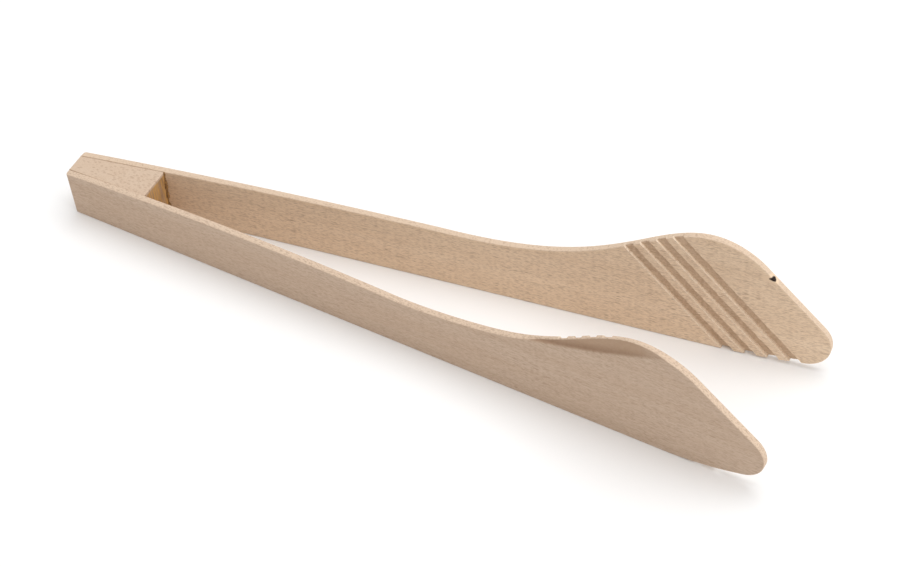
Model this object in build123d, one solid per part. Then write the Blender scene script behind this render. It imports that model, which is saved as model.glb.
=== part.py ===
from build123d import *
from dataclasses import dataclass
import math
import os

# Spring tongs made of three pieces of beech: two flat laths glued to a small wedge block.
# Frame: +X from the butt to the tips, +Y towards the left arm, +Z up, standing on the
# bottom edges of the laths. The origin is under the middle of the whole object.
# Lengths are in millimetres and angles in degrees.

# ---- driving dimensions ----------------------------------------------------------------
overall_length = 300.0     # butt to the foremost tip
spread_angle = 4.77        # each arm's angle from the centre plane, relaxed
lean_angle = 2.4           # each arm's top edge leans outwards
arm_thickness = 2.75

butt_height = 20.9
grip_top = (108.0, 24.8)   # a place on the grip's gently bowed top edge
waist_slope = -0.02
edge_radius = 0.4          # sanded edges
butt_corner_radius = 1.0


@dataclass
class ArmShape:
    """Side view of one lath; places are (x, z) from the foot of its butt, along the lath."""

    length: float          # to the foremost point of the tip
    waist: tuple           # where the top edge starts to sweep up
    sweep: tuple           # places on the sweep up to the hump
    hump: tuple
    shoulder: tuple        # end of the hump, start of the long slanted edge
    slant_slope: float     # rise over run of the slanted edge
    tip_radius: float
    belly_start_x: float   # where the bottom edge starts to curve up to the tip
    groove_start_x: float  # first groove's edge on the bottom edge


# The two laths were sawn and sanded by hand, so their paddles are not quite alike.
arm_shapes = {
    "left": ArmShape(
        length=301.04, waist=(151.0, 25.2), sweep=((181.0, 26.4), (204.0, 31.3), (227.0, 41.4)),
        hump=(258.1, 52.2), shoulder=(275.7, 43.1), slant_slope=-1.03, tip_radius=10.4,
        belly_start_x=257.4, groove_start_x=260.6),
    "right": ArmShape(
        length=299.4, waist=(151.0, 23.7), sweep=((181.0, 25.7), (204.0, 30.6), (227.0, 41.5)),
        hump=(254.1, 51.8), shoulder=(273.8, 43.3), slant_slope=-0.9, tip_radius=11.0,
        belly_start_x=258.4, groove_start_x=254.9),
}

wedge_length = 36.5
wedge_butt_width = 6.7     # between the laths' inner faces, at the bottom of the butt
glue_thickness = 0.15
glue_bead = 0.9            # squeezed out at the front corners of the wedge

groove_count = 4
groove_angle = 46.7        # below the arm's long axis
groove_width = 3.85
groove_pitch = 6.58        # square to the grooves
groove_deep = 1.6          # at the bottom edge
groove_shallow = 0.6       # at the top of the hump

scoop_depth = 1.05         # hollow under the right arm's hump, on its outer face
scoop_shoulder = 1.2       # width of the slope down into the hollow
scoop_crease = [(196.2, 28.6), (230.3, 37.7), (264.4, 50.7)]   # lower border, an arc

flex_distance = 40.0       # from the wedge's front to where each arm's bending is lumped

# ---- worked out from them --------------------------------------------------------------
spread = math.radians(spread_angle)
lean = math.radians(lean_angle)
lift = arm_thickness * math.sin(lean)      # keeps the leaning laths' outer edges on z = 0
flex_x = (wedge_length + flex_distance) / math.cos(spread)
margin = 5.0                               # how far cutting tools run past the wood
above_hump = 100.0                         # higher than any part of a lath
sides = {"left": 1, "right": -1}
# Leans the flat left lath outwards, swings it to its spread and puts it beside the wedge.
arm_place = Pos(0, wedge_butt_width / 2, lift) * Rot(0, 0, spread_angle) * Rot(-lean_angle, 0, 0)


def tip_circle(shape):
    """Centre of the round tip: it touches the slanted edge's line and the arm's full length."""
    centre_x = shape.length - shape.tip_radius
    slant = math.atan(-shape.slant_slope)
    edge_z = shape.shoulder[1] + shape.slant_slope * (centre_x - shape.shoulder[0])
    return centre_x, edge_z - shape.tip_radius / math.cos(slant), slant


def belly_circle(shape, centre_x, centre_z):
    """Radius of the arc that leaves the bottom edge at belly_start_x and runs into the tip."""
    run = centre_x - shape.belly_start_x
    radius = (run ** 2 + centre_z ** 2 - shape.tip_radius ** 2) / (2 * (centre_z - shape.tip_radius))
    return radius, math.atan2(run, radius - centre_z)


def arm_outline(shape, start_x):
    """Closed side view of one lath, in the XZ plane, from start_x to the tip."""
    centre_x, centre_z, slant = tip_circle(shape)
    belly_radius, belly_angle = belly_circle(shape, centre_x, centre_z)
    belly_start = (shape.belly_start_x, 0)
    belly_mid, belly_end = (
        (belly_start[0] + belly_radius * math.sin(turn), belly_radius * (1 - math.cos(turn)))
        for turn in (belly_angle / 2, belly_angle))
    tip_end = (centre_x + shape.tip_radius * math.sin(slant), centre_z + shape.tip_radius * math.cos(slant))
    ends = [(1, waist_slope), (1, shape.slant_slope)]
    with BuildSketch(Plane.XZ) as side_view:
        with BuildLine():
            Line((start_x, 0), belly_start)
            ThreePointArc(belly_start, belly_mid, belly_end)
            ThreePointArc(belly_end, (shape.length, centre_z), tip_end)
            Line(tip_end, shape.shoulder)
            Spline(shape.waist, *shape.sweep, shape.hump, shape.shoulder, tangents=ends)
            ThreePointArc((0, butt_height), grip_top, shape.waist)
            Line((0, butt_height), (start_x, butt_height))
            Line((start_x, butt_height), (start_x, 0))
        make_face()
    return side_view.sketch


def groove_cutters(side):
    """Bars that cut the slanted grooves into the inner face, open at both edges."""
    angle = math.radians(groove_angle)
    along = (math.cos(angle), -math.sin(angle))
    across = (math.sin(angle), math.cos(angle))
    run = arm_shapes[side].hump[1] / math.sin(angle)
    slope = (groove_deep - groove_shallow) / run
    bar = Pos(0, -groove_deep, 0) * Box(2 * above_hump, 2 * groove_deep, groove_width)
    cutters = []
    for number in range(groove_count):
        offset = number * groove_pitch + groove_width / 2
        base_x = arm_shapes[side].groove_start_x + across[0] * offset
        base_z = across[1] * offset
        middle = Location((base_x - along[0] * run / 2, groove_deep - slope * run / 2,
                           base_z - along[1] * run / 2))
        cutters.append(middle * Rot(0, groove_angle, 0) * Rot(0, 0, math.degrees(math.atan(slope))) * bar)
    return cutters


def scoop_cutter():
    """Tool that hollows the outer face above the crease, with a sloping shoulder along it."""
    start, middle, end = scoop_crease
    far_left = (start[0] - above_hump, start[1])
    far_right = (end[0] + above_hump, end[1])
    with BuildSketch(Plane.XZ.offset(-arm_thickness)) as mouth:
        with BuildLine():
            ThreePointArc(start, middle, end)
            Polyline(end, far_right, (far_right[0], above_hump), (far_left[0], above_hump), far_left, start)
        make_face()
    slope = math.degrees(math.atan2(scoop_shoulder, scoop_depth))
    return extrude(mouth.sketch, amount=scoop_depth, taper=slope)


def flat_arm(side):
    """One lath lying in the XZ plane: inner face on y = 0, outer face towards +Y."""
    board = extrude(arm_outline(arm_shapes[side], -margin), amount=-arm_thickness)
    blank = board & arm_place.inverse() * in_front_of_butt()
    blank = fillet([edge for edge in blank.edges() if is_butt_corner(edge)], butt_corner_radius)
    lath = fillet([edge for edge in blank.edges() if is_rim(edge)], edge_radius)
    if side == "right":
        lath -= scoop_cutter()
    for cutter in groove_cutters(side):
        lath -= cutter
    return lath


def is_rim(edge):
    """True for the edges that run along the lath's two faces, not at the butt or through it."""
    box = edge.bounding_box()
    return box.size.Y < 0.01 and box.max.X > 2 * margin


def is_butt_corner(edge):
    """True for the outer upright corner of the butt."""
    box = edge.bounding_box()
    return box.max.X < margin and box.size.Z > butt_height / 2 and box.min.Y > arm_thickness / 2


def place_arm(lath, side):
    """Stand the flat lath beside the wedge, on its own side."""
    standing = arm_place * lath
    if side == "right":
        standing = mirror(standing, about=Plane.XZ)
    return standing


def in_front_of_butt():
    """Block that keeps what lies in front of the butt's flat sawn end."""
    size = 2 * overall_length
    return Pos(size / 2, 0, 0) * Box(size, size, size)


def flex_halves():
    """Two big blocks, in flat arm coordinates, that part a lath at the flex line."""
    size = 2 * overall_length
    root = Pos(flex_x - size / 2, 0, 0) * Box(size, size, size)
    blade = Pos(flex_x + size / 2, 0, 0) * Box(size, size, size)
    return root, blade


def arm_pieces(side):
    """The lath's root, glued to the wedge, and its blade beyond the flex line."""
    lath = flat_arm(side)
    root_half, blade_half = flex_halves()
    return place_arm(lath & root_half, side), place_arm(lath & blade_half, side)


def between_arms(gap, length):
    """Wedge-shaped space that stays gap clear of both inner faces, from the butt to length."""
    levels = []
    for height in (-margin, butt_height + margin):
        rise = (height - lift) * math.tan(lean) / math.cos(spread)
        butt_half = wedge_butt_width / 2 + rise - gap
        front_half = butt_half + length * math.tan(spread)
        corners = [(0, -butt_half), (length, -front_half), (length, front_half), (0, butt_half)]
        with BuildSketch(Plane.XY.offset(height)) as level:
            with BuildLine():
                Polyline(*corners, close=True)
            make_face()
        levels.append(level.sketch)
    return loft(levels)


def grip_band():
    """Everything near the wedge between z = 0 and the laths' top edge, wider than the object."""
    outline = arm_outline(arm_shapes["left"], -margin)
    wide = Pos(0, 0, lift) * extrude(outline, amount=overall_length / 2, both=True)
    footing = Box(4 * wedge_length, overall_length, butt_height / 2)
    return wide + Pos(0, 0, butt_height / 4) * footing


def wedge_block():
    """The spacer block, its grain upright, flush with the laths at the butt, top and bottom."""
    block = between_arms(glue_thickness, wedge_length) & grip_band()
    front_top = block.edges().group_by(Axis.X)[-1].sort_by(Axis.Z)[-1]
    return chamfer(front_top, edge_radius)


def glue_seam(side):
    """Glue film between the wedge and one lath, with the bead squeezed out in front."""
    bead_front = wedge_length + glue_bead
    film = between_arms(0, wedge_length) - between_arms(glue_thickness, wedge_length)
    bead = between_arms(0, bead_front) - between_arms(glue_bead, bead_front)
    bead -= between_arms(-margin, wedge_length)
    size = 2 * overall_length
    own_side = Pos(0, sides[side] * size / 2, 0) * Box(size, size, size)
    return (film + bead) & own_side & grip_band()


def main():
    os.makedirs("parts", exist_ok=True)
    parts = {"wedge_block": wedge_block()}
    for side in sides:
        parts[side + "_glue_seam"] = glue_seam(side)
        parts[side + "_arm_root"], parts[side + "_arm_blade"] = arm_pieces(side)
    for name, part in parts.items():
        export_step(Pos(-overall_length / 2, 0, 0) * part, "parts/" + name + ".step")


main()
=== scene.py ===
import math

import bmesh
import bpy
import numpy as np
from bpy.props import FloatProperty, FloatVectorProperty, IntProperty, PointerProperty
from mathutils import Matrix, Vector


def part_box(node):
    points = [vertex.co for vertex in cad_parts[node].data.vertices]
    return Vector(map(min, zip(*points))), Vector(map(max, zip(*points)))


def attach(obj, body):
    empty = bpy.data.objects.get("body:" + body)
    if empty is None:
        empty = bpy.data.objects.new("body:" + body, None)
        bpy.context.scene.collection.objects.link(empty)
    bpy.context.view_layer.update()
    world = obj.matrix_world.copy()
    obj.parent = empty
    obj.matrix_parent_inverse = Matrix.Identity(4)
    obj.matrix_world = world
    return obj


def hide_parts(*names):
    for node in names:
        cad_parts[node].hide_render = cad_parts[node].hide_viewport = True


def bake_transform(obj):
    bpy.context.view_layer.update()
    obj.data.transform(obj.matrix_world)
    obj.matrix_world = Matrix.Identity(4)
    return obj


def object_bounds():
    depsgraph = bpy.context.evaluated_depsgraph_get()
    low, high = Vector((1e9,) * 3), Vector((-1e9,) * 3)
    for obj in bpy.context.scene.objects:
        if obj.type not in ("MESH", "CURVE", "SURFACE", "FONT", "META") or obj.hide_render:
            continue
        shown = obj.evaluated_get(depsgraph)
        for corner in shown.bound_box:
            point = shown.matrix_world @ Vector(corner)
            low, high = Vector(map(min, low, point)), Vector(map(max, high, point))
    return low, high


bl_info = {
    "name": "Beech Spring Tongs",
    "version": (1, 0, 0),
    "blender": (4, 5, 0),
    "location": "View3D > Sidebar > Tongs",
    "description": "Builds one-hand kitchen tongs from two beech laths glued to a wedge",
    "category": "Add Mesh",
}

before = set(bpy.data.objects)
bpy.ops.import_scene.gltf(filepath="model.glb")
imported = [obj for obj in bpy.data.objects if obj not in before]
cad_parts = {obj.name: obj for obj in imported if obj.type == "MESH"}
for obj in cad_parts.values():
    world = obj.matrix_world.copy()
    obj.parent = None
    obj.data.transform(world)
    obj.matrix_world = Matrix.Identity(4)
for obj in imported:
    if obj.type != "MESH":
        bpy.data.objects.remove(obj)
CAD_BOX = [list(map(float, corner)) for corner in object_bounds()]
BUTT_X = CAD_BOX[0][0]                     # the butt's flat end, in the shared frame
WEDGE_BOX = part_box("wedge_block")
MM = 0.001
SIDES = {"left": 1, "right": -1}


# ---- sizes and colours a user would change ---------------------------------------------
def length(name, description, millimetres):
    """A length property, given in millimetres and kept in metres."""
    return FloatProperty(name=name, description=description, default=millimetres * MM, unit="LENGTH",
                         precision=5)


def angle(name, description, degrees):
    """An angle property, given in degrees and kept in radians."""
    return FloatProperty(name=name, description=description, default=math.radians(degrees),
                         subtype="ANGLE")


def place(name, description, along, up):
    """A point of the lath's side view, given in millimetres from the foot of the butt."""
    return FloatVectorProperty(name=name, description=description, size=2, default=(along * MM, up * MM),
                               unit="LENGTH", precision=5)


def colour(name, description, value):
    """A scene-linear colour property."""
    return FloatVectorProperty(name=name, description=description, size=3, default=value, subtype="COLOR",
                               min=0.0, max=1.0)


class TongsArmSizes(bpy.types.PropertyGroup):
    thickness: length("Thickness", "How thick each lath is", 2.75)
    spread: angle("Spread", "Angle between a relaxed arm and the middle plane", 4.77)
    lean: angle("Lean", "How far each lath's top edge leans outwards", 2.4)
    edge_radius: length("Edge radius", "Roundness of the sanded edges", 0.4)
    corner_radius: length("Corner radius", "Roundness of the butt's outer corners", 1.0)
    butt_height: length("Butt height", "Height of the laths at the butt", 20.9)
    grip: place("Grip", "A place on the grip's bowed top edge", 108.0, 24.8)
    waist_slope: FloatProperty(name="Waist slope", description="Rise over run at the waist", default=-0.02)


class TongsLeftLath(bpy.types.PropertyGroup):
    reach: length("Reach", "From the butt to the foremost point of the tip", 301.04)
    waist: place("Waist", "Where the top edge starts to sweep up", 151.0, 25.2)
    sweep_low: place("Lower sweep", "First place on the sweep", 181.0, 26.4)
    sweep_middle: place("Middle sweep", "Second place on the sweep", 204.0, 31.3)
    sweep_high: place("Upper sweep", "Third place on the sweep", 227.0, 41.4)
    hump: place("Hump", "Crest of the hump", 258.1, 52.2)
    shoulder: place("Shoulder", "Where the slanted edge starts", 275.7, 43.1)
    slant_slope: FloatProperty(name="Slant slope", description="Rise over run of the slanted edge",
                               default=-1.03)
    tip_radius: length("Tip radius", "Radius of the round tip", 10.4)
    belly_start: length("Belly start", "Where the bottom edge starts to curve up", 257.4)
    groove_start: length("Groove start", "First groove's place on the bottom edge", 260.6)


class TongsRightLath(bpy.types.PropertyGroup):
    reach: length("Reach", "From the butt to the foremost point of the tip", 299.4)
    waist: place("Waist", "Where the top edge starts to sweep up", 151.0, 23.7)
    sweep_low: place("Lower sweep", "First place on the sweep", 181.0, 25.7)
    sweep_middle: place("Middle sweep", "Second place on the sweep", 204.0, 30.6)
    sweep_high: place("Upper sweep", "Third place on the sweep", 227.0, 41.5)
    hump: place("Hump", "Crest of the hump", 254.1, 51.8)
    shoulder: place("Shoulder", "Where the slanted edge starts", 273.8, 43.3)
    slant_slope: FloatProperty(name="Slant slope", description="Rise over run of the slanted edge",
                               default=-0.9)
    tip_radius: length("Tip radius", "Radius of the round tip", 11.0)
    belly_start: length("Belly start", "Where the bottom edge starts to curve up", 258.4)
    groove_start: length("Groove start", "First groove's place on the bottom edge", 254.9)


class TongsGrooveSizes(bpy.types.PropertyGroup):
    count: IntProperty(name="Count", description="Grooves across each paddle", default=4, min=1)
    slant: angle("Slant", "Angle of the grooves below the arm's long axis", 46.7)
    width: length("Width", "Width of a groove", 3.85)
    pitch: length("Pitch", "From one groove to the next, square to them", 6.58)
    deep: length("Deep end", "Depth of a groove at the bottom edge", 1.6)
    shallow: length("Shallow end", "Depth of a groove at the top of the hump", 0.6)
    wall: length("Wall run", "How far a groove's side slopes", 0.10)
    fray: length("Fray", "How ragged the grooves' edges are", 0.05)


class TongsHollowSizes(bpy.types.PropertyGroup):
    depth: length("Depth", "Depth of the hollow under the hump", 1.05)
    shoulder: length("Shoulder", "Width of the slope down into the hollow", 1.2)
    fade: length("Fade", "How far the hollow takes to run out at its end", 24.0)
    start: place("Crease start", "Where the crease leaves the top edge", 196.2, 28.6)
    middle: place("Crease middle", "Halfway along the crease", 230.3, 37.7)
    end: place("Crease end", "Where the crease meets the slanted edge", 264.4, 50.7)


class TongsWedgeSizes(bpy.types.PropertyGroup):
    butt_width: length("Butt width", "Gap between the laths at the foot of the butt", 6.7)
    edge_radius: length("Edge radius", "Roundness of the block's edges", 0.2)
    glue: length("Glue", "Thickness of the glue film", 0.15)
    bead: length("Bead", "Size of the bead of squeezed-out glue", 0.8)


class TongsColours(bpy.types.PropertyGroup):
    face: colour("Face", "Sanded beech along the grain", (0.555, 0.405, 0.292))
    pale: colour("Pale", "Pale bands and sanded edges", (0.640, 0.500, 0.385))
    fleck: colour("Fleck", "Short ray flecks", (0.300, 0.175, 0.105))
    # Also darkens the groove floors and the hollow: partly cut grain, partly painted shade.
    cut: colour("Cut", "Wood cut across the grain", (0.420, 0.275, 0.175))
    end: colour("End grain", "The block's sawn ends", (0.600, 0.445, 0.325))
    stained: colour("Stained", "The block's front, darkened by glue", (0.580, 0.325, 0.105))
    # Paler sanded edges, partly painted sheen.
    rim: colour("Rim", "Sanded edges", (0.685, 0.528, 0.395))
    torn: colour("Torn", "Fibres torn at the grooves' edges", (0.850, 0.710, 0.560))
    glue: colour("Glue", "Dried glue", (0.170, 0.085, 0.030))
    knot: colour("Knot", "Bark left at a small knot", (0.016, 0.006, 0.003))
    # The left lath's two colours are much lighter than face and pale though it is the same beech: painted
    # light for its brighter lit inner face.
    left_face_painted_light: colour("Left face", "Main tone of the left lath", (0.785, 0.597, 0.422))
    left_pale_painted_light: colour("Left pale bands", "Lighter bands of the left lath", (0.900, 0.725, 0.540))
    knot_place: place("Knot place", "The small knot on the left lath's slanted edge", 279.6, 40.1)
    floor: colour("Floor", "The plain floor", (0.960, 0.960, 0.960))


class TongsStage(bpy.types.PropertyGroup):
    aim: FloatVectorProperty(name="Aim", description="What the camera looks at", size=3, unit="LENGTH",
                             default=(0.0113, 0.00345, 0.015), precision=5)
    azimuth: angle("Azimuth", "Camera's turn about the vertical", 30.26)
    elevation: angle("Elevation", "Camera's height above the horizon", 45.81)
    roll: angle("Roll", "Camera's turn about its own axis", 5.27)
    distance: FloatProperty(name="Distance", description="From the aim to the camera", default=0.878,
                            unit="LENGTH")
    lens: FloatProperty(name="Lens", description="Focal length", default=95.36, unit="CAMERA")
    key_power: FloatProperty(name="Key light", description="Power of the overhead soft box", default=11.0,
                             unit="POWER")
    side_power: FloatProperty(name="Side light", description="Power of the soft box at the tips", default=6.0,
                              unit="POWER")
    sky: FloatProperty(name="Sky", description="Brightness of the white surroundings", default=0.60)


# ---- curves of the lath's side view ----------------------------------------------------
def circle_through(first, second, third):
    """Centre and radius of the circle through three points: the point as far from each."""
    rows = 2 * np.array([np.subtract(second, first), np.subtract(third, first)])
    squares = np.array([np.dot(second, second) - np.dot(first, first),
                        np.dot(third, third) - np.dot(first, first)])
    centre = np.linalg.solve(rows, squares)
    return centre, float(np.linalg.norm(centre - first))


def arc(centre, radius, start, end, count):
    """Points of a circle: centre plus radius times (cosine, sine), from angle start to end."""
    turn = np.linspace(start, end, count)
    return np.stack([centre[0] + radius * np.cos(turn), centre[1] + radius * np.sin(turn)], axis=1)


def arc_through(first, second, third, count):
    """Points of the arc from the first point over the second to the third."""
    centre, radius = circle_through(first, second, third)
    start, end = (math.atan2(p[1] - centre[1], p[0] - centre[0]) for p in (first, third))
    return arc(centre, radius, start, end, count)


def smooth_through(knots, first_slope, last_slope, count):
    """Points of a cubic curve through the knots, with no jump in bend and with given end slopes.

    The knots' speeds solve the usual three-row system; each span is then a Hermite cubic.
    """
    knots = np.array(knots)
    spans = np.linalg.norm(np.diff(knots, axis=0), axis=1)
    size = len(knots)
    system = np.eye(size)
    right = np.zeros((size, 2))
    inner = np.arange(1, size - 1)
    before, after = spans[:-1, None], spans[1:, None]
    system[inner, inner - 1] = 1 / before[:, 0]
    system[inner, inner] = 2 / before[:, 0] + 2 / after[:, 0]
    system[inner, inner + 1] = 1 / after[:, 0]
    right[inner] = 3 * ((knots[1:-1] - knots[:-2]) / before ** 2 + (knots[2:] - knots[1:-1]) / after ** 2)
    right[0] = np.array([1, first_slope]) / math.hypot(1, first_slope)
    right[-1] = np.array([1, last_slope]) / math.hypot(1, last_slope)
    speeds = np.linalg.solve(system, right)
    starts = np.r_[0, np.cumsum(spans)]
    wanted = np.linspace(0, starts[-1], count)
    span = np.clip(np.searchsorted(starts, wanted, side="right") - 1, 0, size - 2)
    step = spans[span][:, None]
    t = (wanted - starts[span])[:, None] / step
    return ((2 * t ** 3 - 3 * t ** 2 + 1) * knots[span] + (t ** 3 - 2 * t ** 2 + t) * step * speeds[span]
            + (3 * t ** 2 - 2 * t ** 3) * knots[span + 1] + (t ** 3 - t ** 2) * step * speeds[span + 1])


class Rail:
    """One border of the lath's side view, read by its length from the butt."""

    def __init__(self, points, turn):
        steps = np.linalg.norm(np.diff(points, axis=0), axis=1)
        points = points[np.r_[True, steps > 1e-8]]
        self.points = points
        self.lengths = np.r_[0, np.cumsum(np.linalg.norm(np.diff(points, axis=0), axis=1))]
        tangents = np.gradient(points, self.lengths, axis=0)
        tangents /= np.linalg.norm(tangents, axis=1, keepdims=True)
        self.normals = turn * np.stack([-tangents[:, 1], tangents[:, 0]], axis=1)

    def read(self, table, lengths):
        """The table's two columns at the given lengths, by straight interpolation."""
        return np.stack([np.interp(lengths, self.lengths, table[:, k]) for k in (0, 1)], axis=-1)

    def length_at(self, measure, wanted):
        """The length where a rising measure of the points has the wanted value."""
        values = measure(self.points[:, 0], self.points[:, 1])
        rising = np.maximum.accumulate(values)
        return np.interp(wanted, rising, self.lengths)


def side_rails(side):
    """The lath's bottom and top borders, which meet at the foremost point of the round tip."""
    scene = bpy.context.scene
    sizes, shape = scene.tongs_arm, getattr(scene, "tongs_" + side)
    radius = shape.tip_radius
    slant = math.atan(-shape.slant_slope)
    centre_x = shape.reach - radius
    edge_z = shape.shoulder[1] + shape.slant_slope * (centre_x - shape.shoulder[0])
    centre_z = edge_z - radius / math.cos(slant)
    run = centre_x - shape.belly_start
    belly = (run ** 2 + centre_z ** 2 - radius ** 2) / (2 * (centre_z - radius))
    lift = math.atan2(run, belly - centre_z)
    quarter = math.pi / 2
    bottom = np.concatenate([
        np.linspace((0, 0), (shape.belly_start, 0), 400),
        arc((shape.belly_start, belly), belly, -quarter, lift - quarter, 200),
        arc((centre_x, centre_z), radius, lift - quarter, 0, 300)])
    sweep = [shape.waist, shape.sweep_low, shape.sweep_middle, shape.sweep_high, shape.hump, shape.shoulder]
    tip = arc((centre_x, centre_z), radius, quarter - slant, 0, 300)
    top = np.concatenate([
        arc_through((0, sizes.butt_height), sizes.grip, shape.waist, 400),
        smooth_through(sweep, sizes.waist_slope, shape.slant_slope, 900),
        np.linspace(shape.shoulder, tip[0], 200),
        tip])
    return Rail(bottom, 1), Rail(top, -1)


def ease(value):
    """0 below 0, 1 above 1, and the S-curve 3t^2 - 2t^3 between."""
    t = np.clip(value, 0, 1)
    return t * t * (3 - 2 * t)


# ---- the lath as a grid of columns and rows --------------------------------------------
GRIP_STEP = 1.6 * MM       # column spacing along the grip
FAN_START = 150 * MM       # columns turn from upright to the grooves' slant from here on
FAN_COLUMNS = 96
NOSE_COLUMNS = 80
FACE_ROWS = (58, 9, 17)    # below the crease, down its shoulder, in the hollow
CORNER_STEPS = 5           # points round each sanded edge
FAR_AWAY = 1e3             # a groove place that no groove reaches


def groove_offsets(grooves):
    """Places of the groove zone's columns, square to the grooves, from the first groove's edge."""
    wall, width, pitch = grooves.wall, grooves.width, grooves.pitch
    down = np.array([0, 0.2, 0.5, 0.8, 1]) * wall
    floor = np.linspace(wall, width - wall, 9)[1:-1]
    land = np.concatenate([[0.03 * MM, 0.12 * MM], np.linspace(0.35 * MM, pitch - width - 0.35 * MM, 6),
                           [pitch - width - 0.12 * MM, pitch - width - 0.03 * MM]])
    one = np.concatenate([down, floor, width - down[::-1], width + land])
    every = (np.arange(grooves.count)[:, None] * pitch + one[None, :]).ravel()
    before = np.array([-1.2, -0.6, -0.3, -0.12, -0.03]) * MM
    return np.concatenate([before, every[:-4]])


def lath_columns(bottom, top, grooves, first_edge):
    """Where each column starts on the bottom rail and ends on the top rail, and its groove place.

    Upright over the grip, fanned over the sweep, parallel to the grooves across them, then
    fanned again until both ends meet at the tip.
    """
    slant = math.tan(grooves.slant)

    def measure(along, up):
        return along + up / slant

    corner = TongsCorner(bpy.context.scene.tongs_arm.corner_radius)
    grip = np.concatenate([corner.along, np.arange(corner.along[-1] + GRIP_STEP, FAN_START, GRIP_STEP)])
    grip_top = top.length_at(lambda along, up: along, grip)
    offsets = groove_offsets(grooves)
    marks = first_edge + offsets / math.sin(grooves.slant)
    zone_bottom = bottom.length_at(measure, marks)
    zone_top = top.length_at(measure, marks)
    fan = np.linspace(0, 1, FAN_COLUMNS)[1:-1]
    fan_bottom = grip[-1] + fan * (zone_bottom[0] - grip[-1])
    fan_top = grip_top[-1] + fan * (zone_top[0] - grip_top[-1])
    nose = np.linspace(0, 1, NOSE_COLUMNS)[1:]
    nose_bottom = zone_bottom[-1] + nose * (bottom.lengths[-1] - zone_bottom[-1])
    nose_top = zone_top[-1] + nose * (top.lengths[-1] - zone_top[-1])
    return {
        "bottom": np.concatenate([grip, fan_bottom, zone_bottom, nose_bottom]),
        "top": np.concatenate([grip_top, fan_top, zone_top, nose_top]),
        "offset": np.concatenate([np.full(len(grip) + len(fan), -FAR_AWAY), offsets,
                                  np.full(len(nose), FAR_AWAY)]),
        "along_chord": np.concatenate([np.ones(len(grip) + len(fan) + len(offsets)), 1 - ease(nose * 4)]),
        "corner": np.concatenate([corner.drop, np.zeros(len(grip) - CORNER_STEPS + len(fan)
                                                        + len(offsets) + len(nose))]),
    }


class TongsCorner:
    """Steps round a quarter circle: how far along, and how far below full width."""

    def __init__(self, radius):
        turn = np.linspace(0, math.pi / 2, CORNER_STEPS)
        self.along = radius * (1 - np.cos(turn))
        self.drop = radius * (1 - np.sin(turn))


def groove_share(offset, grooves):
    """Flat-bottomed groove: 1 on its floor, and down to 0 over each sloping wall."""
    number = np.clip(np.floor(offset / grooves.pitch), 0, grooves.count - 1)
    inside = offset - number * grooves.pitch
    return np.clip(np.minimum(inside, grooves.width - inside) / grooves.wall, 0, 1)


def edge_weights(offset, grooves, reach):
    """For each groove edge, a bell over the columns near it: exp(-(distance / reach)^2)."""
    starts = np.arange(grooves.count)[:, None] * grooves.pitch
    edges = np.concatenate([starts, starts + grooves.width])
    return np.exp(-((offset[None, :] - edges) / reach) ** 2)


def rough_rows(seed, edges, rows, smoothing):
    """Noise along each groove edge: white noise run through a short moving average, about 1 high."""
    noise = np.random.default_rng(seed).normal(size=(edges, rows + smoothing - 1))
    kernel = np.ones(smoothing) / math.sqrt(smoothing)
    return np.apply_along_axis(np.convolve, 1, noise, kernel, mode="valid")


def hollow_rise(along, up, hollow):
    """Distance above the crease: the crease circle's radius less the distance to its centre."""
    centre, radius = circle_through(hollow.start, hollow.middle, hollow.end)
    return radius - np.hypot(along - centre[0], up - centre[1])


def outer_rows(low, high, hollow):
    """Row places up the outer face, so that one row follows the crease and one its shoulder's foot."""
    share = np.linspace(0, 1, 400)
    line = low[:, None, :] + share[None, :, None] * (high - low)[:, None, :]
    rise = hollow_rise(line[..., 0], line[..., 1], hollow)

    def crossing(level):
        above = rise > level
        return np.where(above.any(axis=1), share[above.argmax(axis=1)], 1.0)

    crease = np.clip(crossing(0), 0.3, 0.975)[:, None]
    foot = np.clip(crossing(hollow.shoulder)[:, None], crease + 0.008, 0.99)
    below, down, inside = (np.linspace(0, 1, count + 1)[None, :] for count in FACE_ROWS)
    return np.concatenate([crease * below, crease + (foot - crease) * down[:, 1:],
                           foot + (1 - foot) * inside[:, 1:]], axis=1)


def loop_rows(low, high, radius, hollow):
    """The closed section of a column, as rows: place up the column, inset, drop and face share.

    The rows go up the inner face, over the top edge, down the outer face and under the bottom
    edge. Inset and drop walk round a quarter circle at each sanded edge.
    """
    turn = np.linspace(0, math.pi / 2, CORNER_STEPS)
    inset, drop = radius * (1 - np.cos(turn)), radius * (1 - np.sin(turn))
    count = sum(FACE_ROWS) + 1
    columns = len(low)
    inner = np.broadcast_to(np.linspace(0, 1, count), (columns, count))
    outer = outer_rows(low, high, hollow)
    rim = np.array([0.25, 0.5, 0.75])
    full = np.full(count - 2, radius)
    none = np.zeros(count - 2)
    ends = np.full(3, radius)

    def column_rows(face):
        start, end = np.zeros((columns, CORNER_STEPS)), np.ones((columns, CORNER_STEPS))
        return np.concatenate([start, face[:, 1:-1], end], axis=1)

    up = np.concatenate([column_rows(inner), np.ones((columns, 3)), column_rows(outer)[:, ::-1],
                         np.zeros((columns, 3))], axis=1)
    one_inset = np.concatenate([inset, full, inset[::-1]])
    one_drop = np.concatenate([drop, none, drop[::-1]])
    chain = len(one_inset)
    return {
        "up": up,
        "inset": np.concatenate([one_inset, np.zeros(3), one_inset, np.zeros(3)]),
        "drop": np.concatenate([one_drop, ends, one_drop, ends]),
        "outer": np.concatenate([np.zeros(chain), rim, np.ones(chain), rim[::-1]]),
        "chain": chain,
    }


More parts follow.
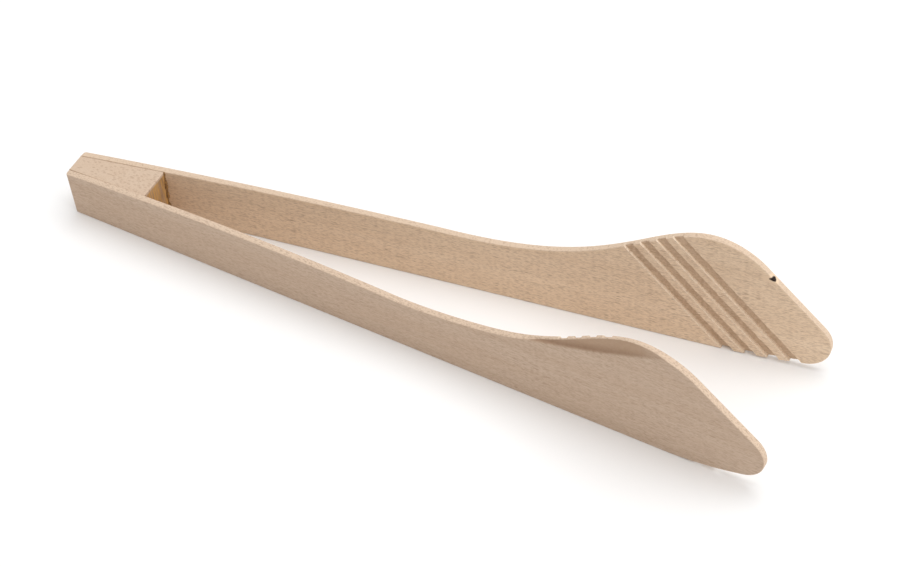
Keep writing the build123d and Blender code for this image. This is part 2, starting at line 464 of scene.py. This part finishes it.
def lath_surface(side):
    """One lath: rail-to-rail columns given a thickness, with grooves, hollow and sanded edges.

    Side view: (1 - up) * (bottom rail + inset) + up * (top rail + inset). Depth: the inner face
    is the groove depth plus the edge drop; the outer face is the thickness less the hollow,
    the edge drop and the rounded butt corner; rims lie between the two by their share.
    """
    scene = bpy.context.scene
    sizes, grooves, hollow = scene.tongs_arm, scene.tongs_grooves, scene.tongs_hollow
    bottom, top = side_rails(side)
    columns = lath_columns(bottom, top, grooves, getattr(scene, "tongs_" + side).groove_start)
    low, high = bottom.read(bottom.points, columns["bottom"]), top.read(top.points, columns["top"])
    rows = loop_rows(low, high, sizes.edge_radius, hollow)

    chord = high - low
    chord /= np.maximum(np.linalg.norm(chord, axis=1, keepdims=True), 1e-6)
    share = columns["along_chord"][:, None]
    low_normal = bottom.read(bottom.normals, columns["bottom"])
    high_normal = top.read(top.normals, columns["top"])
    low_way = share * chord / np.maximum(np.sum(chord * low_normal, axis=1, keepdims=True), 0.3)
    low_way += (1 - share) * low_normal
    high_way = share * chord / np.minimum(np.sum(chord * high_normal, axis=1, keepdims=True), -0.3)
    high_way += (1 - share) * high_normal
    back = 1 - np.sqrt(np.clip(1 - (columns["corner"] / sizes.corner_radius) ** 2, 0, 1))
    inset = rows["inset"][None, :] + (back * sizes.edge_radius)[:, None]
    up = rows["up"][..., None]
    view = ((1 - up) * (low[:, None] + low_way[:, None] * inset[..., None])
            + up * (high[:, None] + high_way[:, None] * inset[..., None]))

    inner_share = 1 - rows["outer"]
    seed = 11 if side == "left" else 23
    bells = edge_weights(columns["offset"], grooves, 0.30 * MM)
    tears = edge_weights(columns["offset"], grooves, 0.26 * MM)
    count = len(rows["inset"])
    ragged = bells.T @ (rough_rows(seed, len(bells), count, 3) * grooves.fray) * inner_share
    burr = tears.T @ np.clip(rough_rows(seed + 1, len(bells), count, 2), 0, 1.5) * inner_share
    across = np.array([math.sin(grooves.slant), math.cos(grooves.slant)])
    view = view + ragged[..., None] * across
    along, height = view[..., 0], view[..., 1]

    floor = groove_share(columns["offset"], grooves)[:, None] * np.ones((1, count))
    run_out = height / getattr(scene, "tongs_" + side).hump[1]
    cut = floor * (grooves.deep + (grooves.shallow - grooves.deep) * run_out)
    chatter = 1 + 0.03 * np.sin(height / (0.9 * MM)) * np.sin(along / (1.7 * MM))
    rise = hollow_rise(along, height, hollow)
    scooped = hollow.depth * ease(rise / hollow.shoulder)
    scooped = scooped * ease((along - hollow.start[0]) / (6 * MM) + 1) * (side == "right")
    scooped = scooped * ease((hollow.end[0] + 5 * MM - along) / hollow.fade)
    # Painted shade along the upper side of the crease, strongest near its start and weaker past the crease's
    # middle.
    painted_crease_shade = ease(rise / (0.8 * MM)) * (1 - ease((rise - 1.2 * MM) / (3.5 * MM))) * (scooped > 0)
    painted_crease_shade = painted_crease_shade * (1 - 0.6 * ease((along - hollow.middle[0]) / (30 * MM)))
    wave = 0.03 * MM * np.sin(along / (23 * MM) + 2 * SIDES[side]) * np.cos(height / (19 * MM))
    inner = cut * chatter - burr * 0.09 * MM + rows["drop"] + wave * (rows["inset"] > 0)
    outer = sizes.thickness - scooped - rows["drop"] - columns["corner"][:, None]
    depth = inner * inner_share + outer * rows["outer"]

    points = np.stack([along, depth, height], axis=-1)
    marks = {
        # Groove floors; the shader darkens them partly as painted shade.
        "cut": floor * inner_share,
        # The hollow; the shader darkens it partly as painted shade.
        "hollow": scooped / hollow.depth * rows["outer"],
        # Painted shade along the crease.
        "painted_crease_shade": painted_crease_shade * rows["outer"],
        # Rounded edges and rims, paler in the shader: partly sanding, partly painted sheen.
        "wear_and_sheen": np.broadcast_to(1 - rows["inset"] / sizes.edge_radius, cut.shape),
        "torn": np.clip(tears[:grooves.count].sum(axis=0)[:, None] * inner_share + burr * 0.25, 0, 1),
    }
    return points, marks, rows["chain"]


def stand_up(points, side):
    """Lath coordinates to the shared frame: lean outwards, swing to the spread, set beside the wedge.

    Near the butt the points also slide along the lath, so that its end lies square to the wedge.
    """
    scene = bpy.context.scene
    sizes, wedge = scene.tongs_arm, scene.tongs_wedge
    lean, spread = sizes.lean, sizes.spread
    outward = points[..., 1] * math.cos(lean) + points[..., 2] * math.sin(lean)
    up = points[..., 2] * math.cos(lean) - points[..., 1] * math.sin(lean)
    squared = 12 * MM
    along = points[..., 0] + np.clip(1 - points[..., 0] / squared, 0, 1) * outward * math.tan(spread)
    height = np.clip(up + sizes.thickness * math.sin(lean), CAD_BOX[0][2], CAD_BOX[1][2])
    return np.stack([
        BUTT_X + along * math.cos(spread) - outward * math.sin(spread),
        SIDES[side] * (wedge.butt_width / 2 + along * math.sin(spread) + outward * math.cos(spread)),
        height], axis=-1)


# ---- grids into meshes -----------------------------------------------------------------
def tube_faces(columns, count):
    """Quads between neighbouring columns of a grid whose rows close into a loop."""
    here = np.arange(columns - 1)[:, None] * count + np.arange(count)[None, :]
    after = np.arange(columns - 1)[:, None] * count + (np.arange(count)[None, :] + 1) % count
    return np.stack([here, after, after + count, here + count], axis=-1).reshape(-1, 4).tolist()


def zip_faces(column, count, chain):
    """Closes one end of a tube: quads from the chain up one face to the chain down the other.

    The first and last faces also take the rim's points, so no edge is left open.
    """
    base = column * count
    rim = (count - 2 * chain) // 2
    one = base + np.arange(chain)
    other = base + chain + rim + np.arange(chain)[::-1]
    quads = np.stack([one[:-1], one[1:], other[1:], other[:-1]], axis=-1)
    faces = quads[1:-1].tolist()
    top_rim = list(range(base + chain, base + chain + rim))
    low_rim = list(range(base + 2 * chain + rim, base + count))
    faces.append([int(one[-2]), int(one[-1])] + top_rim + [int(other[-1]), int(other[-2])])
    faces.append([int(one[0]), int(one[1]), int(other[1]), int(other[0])] + low_rim)
    return faces


def closed_tube(points, chain):
    """Faces of a grid whose rows close into a loop, with both ends zipped shut."""
    rows, count = points.shape[:2]
    return tube_faces(rows, count) + zip_faces(0, count, chain) + zip_faces(rows - 1, count, chain)


def add_piece(name, points, faces, material, marks=None, grain=None, sharp=32.0):
    """A mesh object at the origin, with merged doubles, outward faces and its surface marks."""
    mesh = bpy.data.meshes.new(name)
    mesh.from_pydata(points.reshape(-1, 3).astype(float), [], faces)
    for mark, values in (marks or {}).items():
        layer = mesh.attributes.new(mark, "FLOAT", "POINT")
        layer.data.foreach_set("value", np.ascontiguousarray(values, dtype=np.float32).ravel())
    if grain is not None:
        layer = mesh.attributes.new("grain", "FLOAT_VECTOR", "POINT")
        layer.data.foreach_set("vector", np.ascontiguousarray(grain, dtype=np.float32).ravel())
    shell = bmesh.new()
    shell.from_mesh(mesh)
    bmesh.ops.remove_doubles(shell, verts=shell.verts, dist=1e-6)
    bmesh.ops.dissolve_degenerate(shell, edges=shell.edges, dist=1e-7)
    bmesh.ops.recalc_face_normals(shell, faces=shell.faces)
    shell.to_mesh(mesh)
    shell.free()
    mesh.shade_smooth()
    mesh.set_sharp_from_angle(angle=math.radians(sharp))
    mesh.materials.append(material)
    piece = bpy.data.objects.new(name, mesh)
    bpy.context.scene.collection.objects.link(piece)
    return piece


# ---- shader maths ----------------------------------------------------------------------
class Sock:
    """A socket that takes part in Python arithmetic; each operator adds one Math node."""

    def __init__(self, tree, socket):
        self.tree = tree
        self.socket = socket

    def maths(self, operation, *values):
        """One Math node, as a Sock."""
        node = self.tree.nodes.new("ShaderNodeMath")
        node.operation = operation
        for socket, value in zip(node.inputs, values):
            plug(self.tree, socket, value)
        return Sock(self.tree, node.outputs[0])

    def __add__(self, other):
        return self.maths("ADD", self, other)

    def __radd__(self, other):
        return self.maths("ADD", other, self)

    def __sub__(self, other):
        return self.maths("SUBTRACT", self, other)

    def __rsub__(self, other):
        return self.maths("SUBTRACT", other, self)

    def __mul__(self, other):
        return self.maths("MULTIPLY", self, other)

    def __rmul__(self, other):
        return self.maths("MULTIPLY", other, self)

    def sibling(self, output):
        """Another output of the node that this socket belongs to."""
        return Sock(self.tree, self.socket.node.outputs[output])


def plug(tree, socket, value):
    """Links a Sock to a socket, or sets the socket's own value."""
    if isinstance(value, Sock):
        tree.links.new(value.socket, socket)
    else:
        socket.default_value = value


class Finish:
    """A new material with a Principled shader, and one method that adds any other node."""

    def __init__(self, name):
        self.material = bpy.data.materials.new(name)
        self.material.use_nodes = True
        self.tree = self.material.node_tree
        self.shader = self.tree.nodes["Principled BSDF"]

    def node(self, kind, settings, values, output=0):
        """Adds a node, sets its settings first, then its sockets; gives one output as a Sock."""
        node = self.tree.nodes.new(kind)
        for name, value in settings.items():
            setattr(node, name, value)
        for name, value in values.items():
            plug(self.tree, node.inputs[name], value)
        return Sock(self.tree, node.outputs[output])

    def mark(self, name, output="Fac"):
        """One of the piece's own attributes."""
        return self.node("ShaderNodeAttribute", {"attribute_name": name}, {}, output)

    def stretch(self, vector, scale, shift=(0.0, 0.0, 0.0)):
        """A vector scaled by its three factors, in cells per metre."""
        return self.node("ShaderNodeMapping", {}, {"Vector": vector, "Scale": scale, "Location": shift})

    def noise(self, vector, detail=3.0, roughness=0.5):
        """Smooth noise with one cell per unit of the vector."""
        return self.node("ShaderNodeTexNoise", {},
                         {"Vector": vector, "Scale": 1.0, "Detail": detail, "Roughness": roughness})

    def ramp(self, value, low, high):
        """0 at low, 1 at high, smooth between."""
        return self.node("ShaderNodeMapRange", {"interpolation_type": "SMOOTHSTEP"},
                         {"Value": value, "From Min": low, "From Max": high})

    def mix(self, factor, first, second):
        """Mixes two colours by a factor."""
        shades = [shade if isinstance(shade, Sock) else (*shade, 1.0) for shade in (first, second)]
        return self.node("ShaderNodeMix", {"data_type": "RGBA"}, {0: factor, 6: shades[0], 7: shades[1]},
                         output=2)

    def bump(self, height, distance, strength):
        """A normal tilted by a height; distance is how far full height stands out."""
        return self.node("ShaderNodeBump", {}, {"Height": height, "Distance": distance,
                                                "Strength": strength})

    def flecks(self, vector, amount, size):
        """One spindle in some of the cells: near the cell's point, and its random share small."""
        distance = self.node("ShaderNodeTexVoronoi", {}, {"Vector": vector, "Scale": 1.0}, "Distance")
        chance = self.node("ShaderNodeSeparateColor", {}, {"Color": distance.sibling("Color")})
        spot = 1 - self.ramp(distance, size * 0.45, size)
        return spot * self.ramp(chance, amount, amount - 0.15)

    def finish(self, base, roughness, normal):
        """Links what varies to the Principled shader, and gives the material."""
        plug(self.tree, self.shader.inputs["Base Color"], base)
        plug(self.tree, self.shader.inputs["Roughness"], roughness)
        plug(self.tree, self.shader.inputs["Normal"], normal)
        self.shader.inputs["Specular IOR Level"].default_value = 0.3
        return self.material


def beech_arm(name, shift, face, pale, knot):
    """Sanded beech, grain along the lath: bands, fibres, ray flecks, paler sanded edges that are partly
    painted sheen, and painted shade in the groove floors, the hollow and along its crease.
    """
    colours = bpy.context.scene.tongs_colours
    wood = Finish(name)
    grain = wood.mark("grain", "Vector")
    place_by = (shift, shift * 0.7, shift * 1.3)
    sway = wood.noise(wood.stretch(grain, (14, 40, 40), place_by), 2.0)
    bands = wood.noise(wood.stretch(grain, (5, 90, 170), place_by), 3.0, 0.6)
    streaks = wood.noise(wood.stretch(grain, (60, 900, 1500), place_by), 3.0, 0.6)
    fibres = wood.noise(wood.stretch(grain, (420, 5200, 6800), place_by), 2.0, 0.6)
    clouds = wood.noise(wood.stretch(grain, (45, 45, 60), place_by), 3.0)
    crossed = wood.noise(wood.stretch(grain, (900, 900, 700), place_by), 3.0, 0.7)
    specks = wood.noise(wood.stretch(grain, (1000, 1900, 1900), place_by), 2.0, 0.7)
    short_flecks = wood.flecks(wood.stretch(grain, (420, 240, 2700), place_by), 0.62, 0.46)
    long_flecks = wood.flecks(wood.stretch(grain, (230, 180, 1900), place_by), 0.34, 0.42)
    flecks = (short_flecks * 0.7 + long_flecks * 0.9) * wood.ramp(clouds + sway * 0.4, 0.35, 0.85)

    cut, hollow, painted_crease_shade, wear_and_sheen, torn = (wood.mark(mark) for mark in ("cut", "hollow", "painted_crease_shade", "wear_and_sheen", "torn"))
    tone = wood.ramp(bands + streaks * 0.5 + clouds * 0.3, 0.55, 1.15)
    base = wood.mix(tone * 0.55, face, pale)
    base = wood.mix(wood.ramp(streaks, 0.50, 0.75) * 0.22, base, colours.fleck)
    grit = wood.noise(wood.stretch(grain, (600, 1500, 2400), place_by), 2.0, 0.7)
    base = wood.mix(wood.ramp(grit, 0.46, 0.66) * 0.29, base, colours.fleck)
    base = wood.mix(wood.ramp(grit, 0.46, 0.28) * 0.35, base, pale)
    base = wood.mix(flecks * 0.52, base, colours.fleck)
    base = wood.mix(wood.ramp(fibres, 0.42, 0.70) * 0.14, base, colours.fleck)
    # Groove floors darker in the cut colour: partly cut grain, partly painted shade of the grooves.
    base = wood.mix(wood.ramp(cut, 0.9, 1.0) * (wood.ramp(crossed, 0.3, 0.8) * 0.45 + 0.32), base,
                    colours.cut)
    # The hollow darker in the cut colour: partly cut grain, partly painted shade of the recess.
    base = wood.mix(wood.ramp(hollow, 0.1, 1.0) * (crossed * 0.5 + 0.58), base, colours.cut)
    # Painted shade along the crease, in the fleck colour.
    base = wood.mix(painted_crease_shade * (crossed * 0.4 + 0.34), base, colours.fleck)
    # Paler rounded edges: partly sanding, partly painted sheen.
    worn_and_sheen = wood.ramp(wear_and_sheen, 0.1, 0.9)
    base = wood.mix(worn_and_sheen * (0.60 + wood.ramp(specks, 0.35, 0.65) * 0.40), base, colours.rim)
    base = wood.mix(worn_and_sheen * wood.ramp(specks, 0.50, 0.34) * 0.38, base, colours.fleck)
    base = wood.mix(torn * (0.20 + wood.ramp(specks, 0.40, 0.58) * 0.62), base, colours.torn)
    if knot:
        spot = wood.node("ShaderNodeVectorMath", {"operation": "DISTANCE"}, {
            0: wood.stretch(grain, (0.55, 1.0, 1.7)),
            1: (0.55 * knot[0], 0.4 * MM, 1.7 * knot[1])}, output=1)
        ragged = spot + (specks - 0.5) * 0.9 * MM
        base = wood.mix(1 - wood.ramp(ragged, 2.4 * MM, 3.6 * MM), base, face)
        base = wood.mix(1 - wood.ramp(ragged, 1.2 * MM, 1.7 * MM), base, colours.knot)
    relief = fibres * 0.5 + streaks * 0.4 - flecks * 0.35 + (cut + hollow + worn_and_sheen) * crossed * 0.9
    return wood.finish(base, 0.62 + fibres * 0.12 - flecks * 0.1, wood.bump(relief, 0.08 * MM, 0.6))


def beech_block():
    """The wedge: mottled end grain on top, long upright grain on its front, stained by glue."""
    colours = bpy.context.scene.tongs_colours
    wood = Finish("beech_block")
    grain = wood.mark("grain", "Vector")
    front, edge = wood.mark("front"), wood.mark("wear_and_sheen")
    spots = wood.flecks(wood.stretch(grain, (420, 1050, 540)), 0.75, 0.50)
    fine = wood.noise(wood.stretch(grain, (1500, 2600, 1700)), 2.0, 0.7)
    clouds = wood.noise(wood.stretch(grain, (60, 160, 160)), 3.0, 0.6)
    streaks = wood.noise(wood.stretch(grain, (70, 1300, 1300)), 3.0, 0.65)
    base = wood.mix(wood.ramp(clouds, 0.3, 0.75) * 0.55, colours.end, colours.pale)
    base = wood.mix(spots * 0.46, base, colours.fleck)
    base = wood.mix(wood.ramp(fine, 0.50, 0.70) * 0.34, base, colours.fleck)
    base = wood.mix(wood.ramp(fine, 0.50, 0.30) * 0.35, base, colours.rim)
    stain = wood.mix(wood.ramp(streaks, 0.4, 0.65), colours.stained, colours.cut)
    stain = wood.mix(wood.ramp(clouds + streaks * 0.6, 0.75, 1.0) * 0.55, stain, colours.glue)
    base = wood.mix(wood.ramp(front, 0.2, 0.9), base, stain)
    # Paler block edges: partly sanding, partly painted sheen.
    base = wood.mix(edge * (1 - front) * 0.3, base, colours.rim)
    relief = streaks * (0.4 + front * 1.2) - spots * 0.3 + fine * 0.6
    return wood.finish(base, 0.66 + clouds * 0.1, wood.bump(relief, 0.1 * MM, 0.7))


def wood_glue():
    """Dried glue: brown, a little glossy, and dusted pale where it was sanded flush."""
    colours = bpy.context.scene.tongs_colours
    glue = Finish("wood_glue")
    spot = glue.node("ShaderNodeTexCoord", {}, {}, "Object")
    lumps = glue.noise(glue.stretch(spot, (900, 900, 500)), 3.0, 0.6)
    base = glue.mix(glue.ramp(lumps, 0.35, 0.7) * 0.6, colours.glue, colours.stained)
    base = glue.mix(glue.mark("sanded") * (glue.ramp(lumps, 0.6, 0.35) * 0.35 + 0.5), base, colours.end)
    return glue.finish(base, 0.35 + lumps * 0.25, glue.bump(lumps, 0.1 * MM, 0.6))


def plain_floor():
    """Matt white floor with a barely visible unevenness."""
    floor = Finish("plain_floor")
    spot = floor.node("ShaderNodeTexCoord", {}, {}, "Object")
    grain = floor.noise(floor.stretch(spot, (40, 40, 40)), 3.0)
    shade = bpy.context.scene.tongs_colours.floor
    base = floor.mix(grain * 0.02, shade, tuple(0.96 * part for part in shade))
    return floor.finish(base, 0.9 + grain * 0.05, floor.bump(grain, 0.05 * MM, 0.2))


# ---- the pieces ------------------------------------------------------------------------
BLOCK_COLUMNS = 38         # along the wedge block, between its rounded edges
BLOCK_ROWS = 28            # up the wedge block, between its rounded edges
FLOOR_REACH = 3.0          # half the floor's side, in metres
FLOOR_CELLS = 24


class TONGS_OT_add_arms(bpy.types.Operator):
    """Adds both laths, each one springy piece from the butt to its paddle"""

    bl_idname = "tongs.add_arms"
    bl_label = "Add Arms"

    def execute(self, context):
        for side in SIDES:
            points, marks, chain = lath_surface(side)
            columns, count = points.shape[:2]
            faces = tube_faces(columns, count) + zip_faces(0, count, chain)
            colours = context.scene.tongs_colours
            # The left lath takes lighter copies of the beech colours: painted light.
            if side == "left":
                material = beech_arm("left_arm_beech_painted_light", 0.31, colours.left_face_painted_light, colours.left_pale_painted_light,
                                     colours.knot_place)
            else:
                material = beech_arm("right_arm_beech", 1.77, colours.face, colours.pale, None)
            arm = add_piece(side + "_arm", stand_up(points, side), faces, material, marks, points)
            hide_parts(side + "_arm_root", side + "_arm_blade")
            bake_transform(arm)
        return {"FINISHED"}


def inner_half(along, up, gap=0.0):
    """Half width of the space between the laths, less a gap, in the shared frame."""
    scene = bpy.context.scene
    sizes, wedge = scene.tongs_arm, scene.tongs_wedge
    lift = sizes.thickness * math.sin(sizes.lean)
    rise = (up - lift) * math.tan(sizes.lean) / math.cos(sizes.spread)
    return wedge.butt_width / 2 + along * math.tan(sizes.spread) + rise - gap


def top_height(along):
    """Height of the laths' top edge near the wedge, in the shared frame."""
    sizes = bpy.context.scene.tongs_arm
    edge = arc_through((0, sizes.butt_height), sizes.grip, bpy.context.scene.tongs_left.waist, 200)
    height = np.interp(along / math.cos(sizes.spread), edge[:, 0], edge[:, 1])
    return height + sizes.thickness * math.sin(sizes.lean)


class TONGS_OT_add_wedge(bpy.types.Operator):
    """Adds the wedge block that the laths are glued to"""

    bl_idname = "tongs.add_wedge"
    bl_label = "Add Wedge Block"

    def execute(self, context):
        wedge = context.scene.tongs_wedge
        run = float(WEDGE_BOX[1][0] - WEDGE_BOX[0][0])
        turn = np.linspace(0, math.pi / 2, CORNER_STEPS)
        radius = wedge.edge_radius
        near = radius * (1 - np.cos(turn))
        along = np.concatenate([near, np.linspace(radius, run - radius, BLOCK_COLUMNS + 2)[1:-1],
                                run - near[::-1]])
        pinch = radius * (1 - np.sin(turn))
        narrow = np.concatenate([pinch, np.zeros(BLOCK_COLUMNS), pinch[::-1]])
        share = np.concatenate([np.zeros(CORNER_STEPS), np.linspace(0, 1, BLOCK_ROWS + 2)[1:-1],
                                np.ones(CORNER_STEPS)])
        offset = np.concatenate([near, np.zeros(BLOCK_ROWS), -near[::-1]])
        inset = np.concatenate([pinch, np.zeros(BLOCK_ROWS), pinch[::-1]])
        top = top_height(along)
        up = share[:, None] * top[None, :] + offset[:, None]
        middle = run / 2
        x = middle + (along - middle)[None, :] * (1 - inset / middle)[:, None]
        half = inner_half(along[None, :], up, wedge.glue) - narrow[None, :] - inset[:, None]
        left = np.stack([BUTT_X + x, half, up], axis=-1)
        right = np.stack([BUTT_X + x, -half, up], axis=-1)[:, ::-1]
        points = np.concatenate([left, right], axis=1)
        faces = closed_tube(points, len(along))
        grain = np.stack([points[..., 2], points[..., 1], points[..., 0]], axis=-1)
        front = np.clip((points[..., 0] - BUTT_X - run + 0.12 * MM) / (0.1 * MM), 0, 1)
        front = front * np.clip((top[-1] - 1.1 * MM - points[..., 2]) / (0.5 * MM), 0.25, 1)
        # Rounded edges, paler in the shader: partly sanding, partly painted sheen.
        wear_and_sheen = np.broadcast_to((inset / radius)[:, None], points.shape[:2])
        marks = {"front": front, "wear_and_sheen": wear_and_sheen}
        block = add_piece("wedge", points, faces, beech_block(), marks, grain)
        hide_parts("wedge_block")
        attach(block, "handle")
        return {"FINISHED"}


class TONGS_OT_add_glue(bpy.types.Operator):
    """Adds the two glue films, each with the bead squeezed out in front of the wedge"""

    bl_idname = "tongs.add_glue"
    bl_label = "Add Glue"

    def execute(self, context):
        wedge = context.scene.tongs_wedge
        run = float(WEDGE_BOX[1][0] - WEDGE_BOX[0][0])
        share = np.linspace(0, 1, 60)
        material = wood_glue()
        for side, way in SIDES.items():
            noise = np.random.default_rng(5 + way).normal(size=len(share) + 6)
            lumps = np.convolve(noise, np.ones(7) / 7, mode="valid")
            bead = wedge.bead * np.clip(0.75 + 0.9 * lumps, 0.35, 1.1)
            bead = bead * (1 - 0.7 * ease((share - 0.9) / 0.1))
            film = np.broadcast_to(np.linspace(0, run, 30), (len(share), 30))
            curve = np.linspace(0, math.pi / 2, 10)
            forward = run + bead[:, None] * np.sin(curve)[None, :]
            along = np.concatenate([film, forward], axis=1)
            thick = np.concatenate([np.full(film.shape, wedge.glue),
                                    wedge.glue + bead[:, None] * np.cos(curve)[None, :] ** 0.8], axis=1)
            thick[:, -1] = 0.01 * MM
            up = share[:, None] * top_height(along)
            arm_face = np.stack([BUTT_X + along, way * inner_half(along, up), up], axis=-1)
            wedge_face = np.stack([BUTT_X + along, way * (inner_half(along, up) - thick), up], axis=-1)
            points = np.concatenate([arm_face, wedge_face[:, ::-1]], axis=1)
            faces = closed_tube(points, arm_face.shape[1])
            sanded = (share[:, None] > 0.98) * (points[..., 0] < BUTT_X + run)
            seam = add_piece(side + "_glue", points, faces, material, {"sanded": sanded})
            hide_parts(side + "_glue_seam")
            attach(seam, "handle")
        return {"FINISHED"}


# ---- the stage -------------------------------------------------------------------------
def look_from(place_at, aim, roll):
    """World matrix of something at a place that looks at the aim, turned about its own axis."""
    facing = (Vector(place_at) - Vector(aim)).to_track_quat("Z", "Y").to_matrix().to_4x4()
    return Matrix.Translation(place_at) @ facing @ Matrix.Rotation(roll, 4, "Z")


def add_soft_box(name, place_at, aim, size, power):
    """A square white area light."""
    lamp = bpy.data.lights.new(name, "AREA")
    lamp.shape = "SQUARE"
    lamp.size = size
    lamp.energy = power
    holder = bpy.data.objects.new(name, lamp)
    bpy.context.scene.collection.objects.link(holder)
    holder.matrix_world = look_from(place_at, aim, 0.0)
    return holder


class TONGS_OT_add_stage(bpy.types.Operator):
    """Adds the plain floor, the soft studio light and the camera"""

    bl_idname = "tongs.add_stage"
    bl_label = "Add Stage"

    def execute(self, context):
        scene = context.scene
        stage = scene.tongs_stage
        aim = Vector(stage.aim)
        flat = math.cos(stage.elevation)
        away = Vector((math.sin(stage.azimuth) * flat, -math.cos(stage.azimuth) * flat,
                       math.sin(stage.elevation)))
        camera = bpy.data.objects.new("camera", bpy.data.cameras.new("camera"))
        scene.collection.objects.link(camera)
        camera.data.lens = stage.lens
        camera.data.clip_start = 0.01
        camera.matrix_world = look_from(aim + away * stage.distance, aim, -stage.roll)
        scene.camera = camera

        steps = np.linspace(-FLOOR_REACH, FLOOR_REACH, FLOOR_CELLS + 1)
        x, y = np.meshgrid(steps, steps, indexing="ij")
        grid = np.stack([x, y, np.zeros_like(x)], axis=-1)
        side = FLOOR_CELLS + 1
        corner = (np.arange(FLOOR_CELLS)[:, None] * side + np.arange(FLOOR_CELLS)[None, :]).ravel()
        quads = np.stack([corner, corner + side, corner + side + 1, corner + 1], axis=-1).tolist()
        mesh = bpy.data.meshes.new("floor")
        mesh.from_pydata(grid.reshape(-1, 3), [], quads)
        mesh.materials.append(plain_floor())
        floor = bpy.data.objects.new("floor", mesh)
        scene.collection.objects.link(floor)

        add_soft_box("overhead_box", (0.1, 0.2, 1.3), (0.0, 0.0, 0.0), 1.2, stage.key_power)
        add_soft_box("side_box", (1.5, -0.2, 0.45), (0.0, 0.0, 0.02), 0.9, stage.side_power)
        world = bpy.data.worlds.new("white_room")
        scene.world = world
        world.use_nodes = True
        background = world.node_tree.nodes["Background"]
        background.inputs["Color"].default_value = (1.0, 1.0, 1.0, 1.0)
        background.inputs["Strength"].default_value = stage.sky
        scene.view_settings.view_transform = "Standard"
        return {"FINISHED"}


class TONGS_PT_builder(bpy.types.Panel):
    """Lists the pieces and their sizes"""

    bl_idname = "TONGS_PT_builder"
    bl_label = "Spring Tongs"
    bl_space_type = "VIEW_3D"
    bl_region_type = "UI"
    bl_category = "Tongs"

    def draw(self, context):
        layout = self.layout
        for operator in OPERATORS:
            layout.operator(operator.bl_idname)
        for name in GROUPS:
            settings = getattr(context.scene, name)
            box = layout.box()
            box.label(text=name.replace("_", " ").capitalize())
            for key in settings.__annotations__:
                box.prop(settings, key)


GROUPS = {
    "tongs_arm": TongsArmSizes,
    "tongs_left": TongsLeftLath,
    "tongs_right": TongsRightLath,
    "tongs_grooves": TongsGrooveSizes,
    "tongs_hollow": TongsHollowSizes,
    "tongs_wedge": TongsWedgeSizes,
    "tongs_colours": TongsColours,
    "tongs_stage": TongsStage,
}
OPERATORS = (TONGS_OT_add_arms, TONGS_OT_add_wedge, TONGS_OT_add_glue, TONGS_OT_add_stage)
CLASSES = (*GROUPS.values(), *OPERATORS, TONGS_PT_builder)


def register():
    """Makes the panel, the operators and their settings known to Blender."""
    for item in CLASSES:
        bpy.utils.register_class(item)
    for name, group in GROUPS.items():
        setattr(bpy.types.Scene, name, PointerProperty(type=group))


def unregister():
    """Takes away what register() added."""
    for name in GROUPS:
        delattr(bpy.types.Scene, name)
    for item in reversed(CLASSES):
        bpy.utils.unregister_class(item)


def main():
    """Builds the tongs on their stage."""
    register()
    bpy.ops.tongs.add_arms()
    bpy.ops.tongs.add_wedge()
    bpy.ops.tongs.add_glue()
    bpy.ops.tongs.add_stage()


if __name__ == "__main__":
    main()
